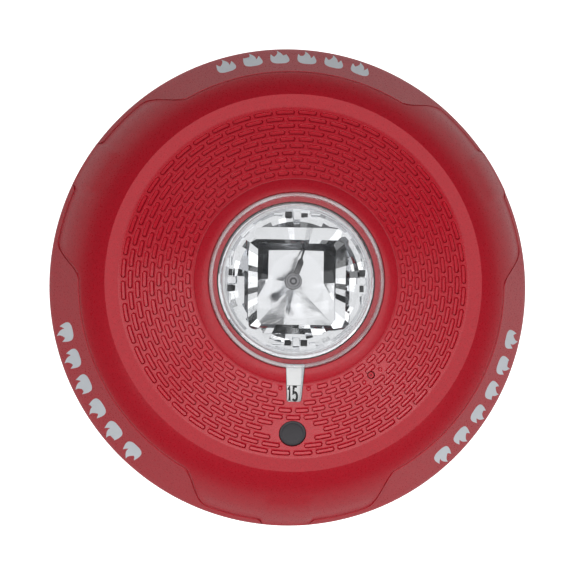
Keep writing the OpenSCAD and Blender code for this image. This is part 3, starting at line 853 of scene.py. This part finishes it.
def reflector():
    """Faceted bowl, and round it a shelf that is broken into small mirrors."""
    mesh = Mesh()
    rng = random.Random(11)
    for facet in BOWL_FACETS:
        broken_facet(mesh, [Vector(BOWL_POINTS[p]) for p in facet], rng)
    foot = mesh.loop([(x, y, BOWL_LOW) for x, y in BOWL])
    lip = mesh.loop([(x, y, LIP_Z) for x, y in BOWL])
    mesh.bridge(foot, lip)
    lip = mesh.loop([(x, y, LIP_Z) for x, y in ray_hits(BOWL)])
    brow = mesh.loop([(x, y, LIP_Z - 0.3 - 1.5 * rng.random() ** 2) for x, y in ray_hits(BROW)])
    mesh.bridge(lip, brow)
    angles = [360 * (k + 0.5) / SPOKES for k in range(SPOKES)]
    drops = [0.85 + 0.3 * rng.random() if 48 < t < 136 else 1.3 + 1.9 * rng.random() for t in angles]
    last = mesh.loop([(x, y, LIP_Z - d) for (x, y), d in zip(ray_hits(SHOULDER), drops)])
    mesh.bridge(brow, last)
    for r, z, drop in SHELF:
        new = mesh.loop([polar(r, t, z - drop * rng.random()) for t in angles])
        mesh.bridge(last, new)
        last = new
    mesh.fan(last, (0, 0, SHELF[-1][1]))
    ob = smooth(mesh.make("reflector_bowl"), 11)
    for face in ob.data.polygons:
        x, y, z = face.center / MM
        face.use_smooth = z < 44 and max(abs(x), abs(y + 1.3)) < 14.2
    dress(ob, CHROME, "head", "reflector_chrome", "reflector")


def bevelled_box(name, centre, size, turn):
    """A block with its edges broken, turned about Z."""
    bm = bmesh.new()
    bmesh.ops.create_cube(bm, size=1)
    bmesh.ops.scale(bm, verts=bm.verts, vec=Vector(size))
    bmesh.ops.bevel(bm, geom=list(bm.edges), offset=LUG_BEVEL, segments=2, affect="EDGES", profile=0.5)
    place = Matrix.Translation(Vector(centre)) @ Matrix.Rotation(math.radians(turn), 4, "Z")
    bmesh.ops.transform(bm, verts=bm.verts, matrix=place)
    bmesh.ops.scale(bm, verts=bm.verts, vec=(MM, MM, MM))
    return from_bmesh(name, bm)


def joined(name, *parts):
    """One object from several."""
    bm = bmesh.new()
    for part in parts:
        bm.from_mesh(part.data)
        bpy.data.objects.remove(part)
    return from_bmesh(name, bm)


def reflector_clips():
    """Snap lugs on the reflector's shelf at four sides, and black blocks beside them as painted shade for
    their slots.
    """
    lugs, slots = [], []
    for turn in (0, 90, 180, 270):
        out = 0.0 if turn == 270 else 1.2
        blocks = [(lugs, (21.6 + out, 0.2, 47.0), (2.9, 2.3, 1.3))]
        for side in (-1, 1):
            blocks += [(slots, (21.9 + out, 0.2 + 2.75 * side, 46.7), (1.7 + 0.5 * side, 2.3, 0.5)),
                       (lugs, (22.1 + out, 6.6 * side, 46.9), (0.7, 3.2, 0.9))]
        place = Matrix.Rotation(math.radians(turn), 4, "Z")
        for into, centre, size in blocks:
            into.append(bevelled_box("lug", place @ Vector(centre), size, turn))
    lugs, slots = joined("reflector_lugs", *lugs), joined("reflector_slot_shade", *slots)
    dress(smooth(lugs, 30), CHROME, "head", "reflector_chrome")
    # Painted shade: black blocks stand in for the dark openings of the slots.
    dress(smooth(slots, 30), BLACK, "head", "black_plastic")


reflector()
reflector_clips()

# Flash tube -----------------------------------------------------------------------

LEAD_WAY = math.radians(69)
BORE_R, TUBE_R = 1.8, 2.5
GLASS_LOW, GLASS_TOP = 30.4, 56.4
WIRE_R = 0.36
# Stations of the flat strap from the cap outwards: distance, height, half width, half thickness
STRAP = ((2.3, 57.9, 1.0, 0.35), (3.4, 57.9, 1.05, 0.35), (4.6, 57.7, 1.05, 0.35), (5.8, 57.3, 1.05, 0.35),
         (6.8, 56.8, 1.1, 0.35), (7.6, 55.8, 1.0, 0.4), (8.2, 54.2, 0.7, 0.45), (8.8, 52.2, 0.45, 0.45))
# The wire that goes on from it, as (distance, height)
WIRE = ((8.8, 52.6), (10.2, 49.8), (11.8, 47.8), (12.5, 46.2), (12.6, 44.0), (12.6, 21.7))


def along_lead(r, z, side=0.0):
    """A point at distance r from the tube's axis towards the lead's side."""
    c, s = math.cos(LEAD_WAY), math.sin(LEAD_WAY)
    return (TUBE_AT[0] + r * c - side * s, TUBE_AT[1] + r * s + side * c, z)


def strap_section(r, z, half, thick):
    """Six points round the strap."""
    over, under = (r + 0.4 * thick, z + thick), (r - 0.4 * thick, z - thick)
    return [along_lead(*over, -half * 0.8), along_lead(*over, half * 0.8), along_lead(r, z, half),
            along_lead(*under, half * 0.8), along_lead(*under, -half * 0.8), along_lead(r, z, -half)]


def tube_glass():
    glass = [(BORE_R, GLASS_LOW), (TUBE_R, GLASS_LOW), (TUBE_R, GLASS_TOP - 0.4), (TUBE_R - 0.2, GLASS_TOP),
             (BORE_R, GLASS_TOP)]
    ob = revolve("tube_glass_wall", glass, 48, TUBE_AT)
    dress(smooth(ob), TUBE_GLASS, "head", "tube_glass", "flash_tube")


def tube_caps():
    top = [(0, GLASS_TOP), (2.9, GLASS_TOP), (3.0, 56.6), (3.0, 58.2), (2.75, 58.5), (2.2, 58.55),
           (2.0, 58.2), (1.25, 58.2), (1.1, 58.5), (0.7, 58.8), (0, 58.8)]
    foot = [(0, 27.0), (2.8, 27.0), (3.0, 27.2), (3.0, 29.8), (2.8, 30.0), (0, 30.0)]
    ends = [revolve(name, line, 48, TUBE_AT, False) for name, line in (("cap_top", top), ("cap_foot", foot))]
    dress(smooth(joined("tube_caps", *ends)), ELECTRODE, "head", "electrode_metal", "tube_end_caps")


def tube_lead():
    mesh = Mesh()
    loops = [mesh.loop(strap_section(*station)) for station in STRAP]
    for a, b in zip(loops, loops[1:]):
        mesh.bridge(a, b)
    mesh.face(loops[0])
    mesh.face(loops[-1])
    strap = mesh.make("strap")
    wire = tube_along("wire", [along_lead(r, z) for r, z in WIRE], WIRE_R)
    ob = joined("tube_lead_strap", strap, wire)
    dress(smooth(ob, 40), LEAD, "head", "lead_wire", "tube_lead")


tube_glass()
tube_caps()
tube_lead()

# Numbers --------------------------------------------------------------------------


def ribbon(mesh, path, width, z0, z1):
    """A flat stroke with mitred corners along a plan path."""
    left, right = [], []
    for i, p in enumerate(path):
        before = Vector(p) - Vector(path[i - 1]) if i else None
        after = Vector(path[i + 1]) - Vector(p) if i < len(path) - 1 else None
        d0 = (before or after).normalized()
        d1 = (after or before).normalized()
        n = (Vector((-d0.y, d0.x)) + Vector((-d1.y, d1.x))).normalized()
        reach = width / 2 / max(n.dot(Vector((-d0.y, d0.x))), 0.5)
        left.append(Vector(p) + n * reach)
        right.append(Vector(p) - n * reach)
    (l0, r0), (l1, r1) = [[mesh.loop([(p.x, p.y, z) for p in edge]) for edge in (left, right)]
                          for z in (z0, z1)]
    for i in range(len(path) - 1):
        mesh.faces.append((l1[i], l1[i + 1], r1[i + 1], r1[i]))
        mesh.faces.append((l0[i], r0[i], r0[i + 1], l0[i + 1]))
        mesh.faces.append((l0[i], l0[i + 1], l1[i + 1], l1[i]))
        mesh.faces.append((r0[i], r1[i], r1[i + 1], r0[i + 1]))
    for k in (0, -1):
        mesh.faces.append((l0[k], l1[k], r1[k], r0[k]))


def digit_paths(d):
    """Strokes of a numeral in a box one wide and one high."""
    return {
        "0": [oval(0.5, 0.5, 0.5, 0.5, 90, 450, 20)],
        "1": [[(0.0, 0.78), (0.7, 1.0), (0.7, 0.0)]],
        "3": [oval(0.46, 0.745, 0.46, 0.255, 150, -80, 10) + oval(0.46, 0.25, 0.5, 0.25, 80, -150, 10)],
        "5": [[(0.92, 1.0), (0.16, 1.0), (0.08, 0.52)] + oval(0.46, 0.3, 0.5, 0.3, 115, -150, 12)],
        "7": [[(0.02, 1.0), (0.98, 1.0), (0.35, 0.0)]],
        "9": [oval(0.5, 0.68, 0.46, 0.32, -10, 350, 16), [(0.96, 0.68), (0.9, 0.3), (0.5, 0.0)]],
    }[d]


# Each setting: label, width of a digit, gap, stroke and height. All but the first are narrow
# enough to stay out of the window while a neighbour is shown.
SETTINGS = (("15", 1.5, 0.98, 0.8, 5.0), ("30", 0.9, 0.62, 0.5, 4.4),
            ("75", 0.9, 0.62, 0.5, 4.4), ("95", 0.9, 0.62, 0.5, 4.4),
            ("115", 0.66, 0.46, 0.4, 4.0), ("150", 0.66, 0.46, 0.4, 4.0),
            ("177", 0.66, 0.46, 0.4, 4.0))
BARE_ONE = [[(0.5, 1.0), (0.5, 0.0)]]
SETTING_PITCH = 4.2     # travel of the lever from one setting to the next
NUMBER_Y, STRIP_TOP, INK_THICK = -39.45, 36.2, 0.03


def numbers():
    """Seven settings on the strip; the one behind the window at rest is at x = 0."""
    mesh = Mesh()
    for i, (label, wide, gap, stroke, tall) in enumerate(SETTINGS):
        widths = [wide * 0.5 if d == "1" else wide for d in label]
        x0 = -SETTING_PITCH * i - (sum(widths) + (len(label) - 1) * gap) / 2
        for d, w in zip(label, widths):
            for path in BARE_ONE if d == "1" and len(label) == 3 else digit_paths(d):
                pts = [(x0 + u * w, NUMBER_Y + (v - 0.5) * tall) for u, v in path]
                ribbon(mesh, pts, stroke, STRIP_TOP, STRIP_TOP + INK_THICK)
            x0 += w + gap
    ob = mesh.make("strip_numbers")
    return dress(ob, INK, "candela_slider", "marking_ink")


numbers()

# Markings -------------------------------------------------------------------------

FLAMES, FLAME_STEP, FLAME_WIDE, FLAME_TALL = 6, 9.9, 6.9, 11.6
MARK_R, MARK_THICK, MARK_LIFT = 82.65, 0.1, 0.05
# Round body with a long middle tongue and two short ones; each run is smooth between its ends
FLAME_RUNS = (((0.0, 0.0), (0.26, 0.02), (0.45, 0.13), (0.5, 0.3), (0.47, 0.47), (0.38, 0.73)),
              ((0.38, 0.73), (0.3, 0.58), (0.2, 0.46)),
              ((0.2, 0.46), (0.2, 0.62), (0.12, 0.8), (-0.06, 1.0)),
              ((-0.06, 1.0), (-0.06, 0.84), (-0.14, 0.68), (-0.26, 0.54)),
              ((-0.26, 0.54), (-0.33, 0.6), (-0.42, 0.76)),
              ((-0.42, 0.76), (-0.48, 0.52), (-0.5, 0.3), (-0.44, 0.12), (-0.25, 0.02), (0.0, 0.0)))


def smooth_run(points, steps=3):
    """Catmull-Rom curve through the points, without the last one."""
    pts = [Vector(p) for p in points]
    pts = [pts[0] * 2 - pts[1]] + pts + [pts[-1] * 2 - pts[-2]]
    line = []
    for a, b, c, d in zip(pts, pts[1:], pts[2:], pts[3:]):
        for k in range(steps):
            t = k / steps
            square, cube = a * 2 - b * 5 + c * 4 - d, b * 3 - a - c * 3 + d
            line.append((b * 2 + (c - a) * t + square * t ** 2 + cube * t ** 3) / 2)
    return line


def on_skirt(u, v, middle, lift):
    """A point of a panel: u round the skirt, v down its slope from MARK_R, lift off it."""
    slope = math.atan(SKIRT_SLOPE)
    r = MARK_R + v * math.cos(slope)
    turn = middle - math.degrees(u / MARK_R)
    return polar(r + lift * math.sin(slope), turn, skirt_z(r) + lift * math.cos(slope))


def panel_marks():
    """A row of flames on each of the three skirt panels, tips towards the ceiling."""
    outline = [p for run in FLAME_RUNS for p in smooth_run(run)]
    width = FLAMES * FLAME_STEP
    for number, middle in enumerate(PANELS_AT, 1):
        bm = bmesh.new()
        for k in range(FLAMES):
            u0 = (k - (FLAMES - 1) / 2) * FLAME_STEP
            bm.faces.new([bm.verts.new((u0 + p.x * FLAME_WIDE, (p.y - 0.5) * FLAME_TALL, 0))
                          for p in outline])
        bmesh.ops.triangulate(bm, faces=bm.faces[:])
        for k in range(1, int(width)):
            bmesh.ops.bisect_plane(bm, geom=bm.verts[:] + bm.edges[:] + bm.faces[:],
                                   plane_co=(k - width / 2, 0, 0), plane_no=(1, 0, 0))
        bmesh.ops.recalc_face_normals(bm, faces=bm.faces)
        bmesh.ops.solidify(bm, geom=bm.faces[:], thickness=MARK_THICK)
        for v in bm.verts:
            v.co = Vector(on_skirt(v.co.x, v.co.y, middle, MARK_LIFT + v.co.z * 0.9)) * MM
        bmesh.ops.recalc_face_normals(bm, faces=bm.faces)
        dress(from_bmesh("panel_marks_%d" % number, bm), SILVER_INK, "head", "marking_ink")


panel_marks()

# Captive screw --------------------------------------------------------------------

THREAD_TURNS, THREAD_PITCH, THREAD_LOW = 14, 0.7, 2.2
THREAD_R, CORE_R, NECK_R, HEAD_R = 1.7, 1.38, 1.5, 2.5


def captive_screw():
    """Steel shank with rings for its thread, and a red cap whose stud shows in the access hole."""
    shank = [(0, 1.5), (1.1, 1.5)]
    for k in range(THREAD_TURNS):
        z = THREAD_LOW + THREAD_PITCH * k
        shank += [(CORE_R, z - 0.2), (THREAD_R, z), (THREAD_R, z + 0.12), (CORE_R, z + 0.32)]
    shank += [(CORE_R, 12.6), (NECK_R, 12.8), (NECK_R, 34.8), (THREAD_R, 35.1), (THREAD_R, 35.6),
              (HEAD_R, 35.6), (HEAD_R, 36.2), (0, 36.2)]
    ob = revolve("captive_screw_shank", shank, 40, SCREW_AT, False)
    dress(smooth(ob), STEEL, "mounting_screw", "plated_steel", "captive_screw")
    cap = [(0, 36.3), (2.5, 36.3), (2.68, 36.5), (2.68, 38.3), (2.4, 38.6), (1.25, 38.6), (1.1, 38.8),
           (1.1, 42.0), (0.98, 42.2), (0.5, 42.22), (0.42, 42.1), (0.42, 41.4), (0, 41.4)]
    ob = revolve("captive_screw_cap", cap, 40, SCREW_AT, False)
    dress(smooth(ob), RED_POLISHED_PAINTED_LIGHT, "mounting_screw", "red_plastic", "captive_screw")


captive_screw()

# Stage, camera and light ----------------------------------------------------------

CAMERA_WAY = Vector((-0.071, -0.056, 0.996)).normalized()
CAMERA_FAR = 1.2
CAMERA_ROLL = math.radians(0.8)
FOCAL_MM = 207.1
AIM = Vector((-0.00015, -0.00052, 0.008))


# Soft boxes: name, place, size and power
LAMPS = (("overhead", (0.0, 0.0, 1.6), (2.3, 2.3), 16.6), ("key", (0.15, -1.0, 1.2), (2.2, 0.55), 8.8),
         ("right", (1.13, -0.3, 1.2), (0.5, 1.4), 3.9), ("left", (-1.1, -0.4, 1.2), (0.5, 1.3), 4.0),
         ("back", (0.0, 1.0, 1.2), (2.2, 0.55), 1.3))
AMBIENT = 0.05
TABLE_R, TABLE_FADE = 0.45, 0.3


def stand(ob, place, right, up, back):
    """Puts an object at a place, looking against back."""
    ob.matrix_world = Matrix((right, up, back)).transposed().to_4x4()
    ob.matrix_world.translation = place


def camera():
    data = bpy.data.cameras.new("camera")
    data.lens, data.sensor_width = FOCAL_MM, 36
    cam = linked("camera", data)
    back = CAMERA_WAY
    up = Matrix.Rotation(CAMERA_ROLL, 3, back) @ (Vector((0, 1, 0)) - back * back.y).normalized()
    stand(cam, AIM + CAMERA_WAY * CAMERA_FAR, up.cross(back), up, back)
    bpy.context.scene.camera = cam


def lamp(name, place, size, power):
    """A soft box that faces the origin, round if it is as wide as tall."""
    data = bpy.data.lights.new(name, "AREA")
    data.shape = "ELLIPSE" if size[0] == size[1] else "RECTANGLE"
    data.size, data.size_y, data.energy = size[0], size[1], power
    back = Vector(place).normalized()
    right = (Vector((1, 0, 0)) - back * back.x).normalized()
    stand(linked(name, data), Vector(place), right, back.cross(right), back)


def floor():
    """White table that falls off to dark paper; seen white all over from above and see-through from below."""
    profile = [(0, -0.3), (900, -0.3), (1800, -0.3), (2200, 30), (2450, 160), (2550, 500), (2560, 900)]
    ob = revolve("floor", profile, 96, closed=False)
    s = Shader("floor_paper", (0.55, 0.55, 0.55, 1), 0.9, Specular_IOR_Level=0.1)
    away = s.node("ShaderNodeVectorMath")
    away.operation = "LENGTH"
    s.link(s.coords(), away.inputs[0])
    fade_end = TABLE_R + TABLE_FADE
    s.vary_colour(s.spread(away.outputs["Value"], 0, 1, TABLE_R, fade_end), 1.0, 0.1)
    s.bsdf.inputs["Emission Color"].default_value = (1, 1, 1, 1)
    glow = s.node("ShaderNodeMath")
    s.link(s.spread(away.outputs["Value"], 0.2, 0.03, TABLE_R, fade_end), glow.inputs[0])
    s.link(s.node("ShaderNodeLightPath").outputs["Is Camera Ray"], glow.inputs[1])
    s.link(glow.outputs["Value"], s.bsdf.inputs["Emission Strength"])
    under = s.node("ShaderNodeMixShader")
    s.link(s.node("ShaderNodeNewGeometry").outputs["Backfacing"], under.inputs["Fac"])
    s.link(s.bsdf.outputs["BSDF"], under.inputs[1])
    s.link(s.node("ShaderNodeBsdfTransparent").outputs["BSDF"], under.inputs[2])
    s.link(under.outputs["Shader"], s.tree.nodes["Material Output"].inputs["Surface"])
    if ob.data.polygons[0].normal.z < 0:
        ob.data.flip_normals()
    smooth(ob, 60).data.materials.append(s.mat)


def world():
    w = bpy.data.worlds.new("studio")
    bpy.context.scene.world = w
    w.use_nodes = True
    back = w.node_tree.nodes["Background"]
    back.inputs["Color"].default_value = (1, 1, 1, 1)
    back.inputs["Strength"].default_value = AMBIENT


camera()
floor()
world()
for settings in LAMPS:
    lamp(*settings)
view = bpy.context.scene.view_settings
view.view_transform, view.look = "Standard", "None"
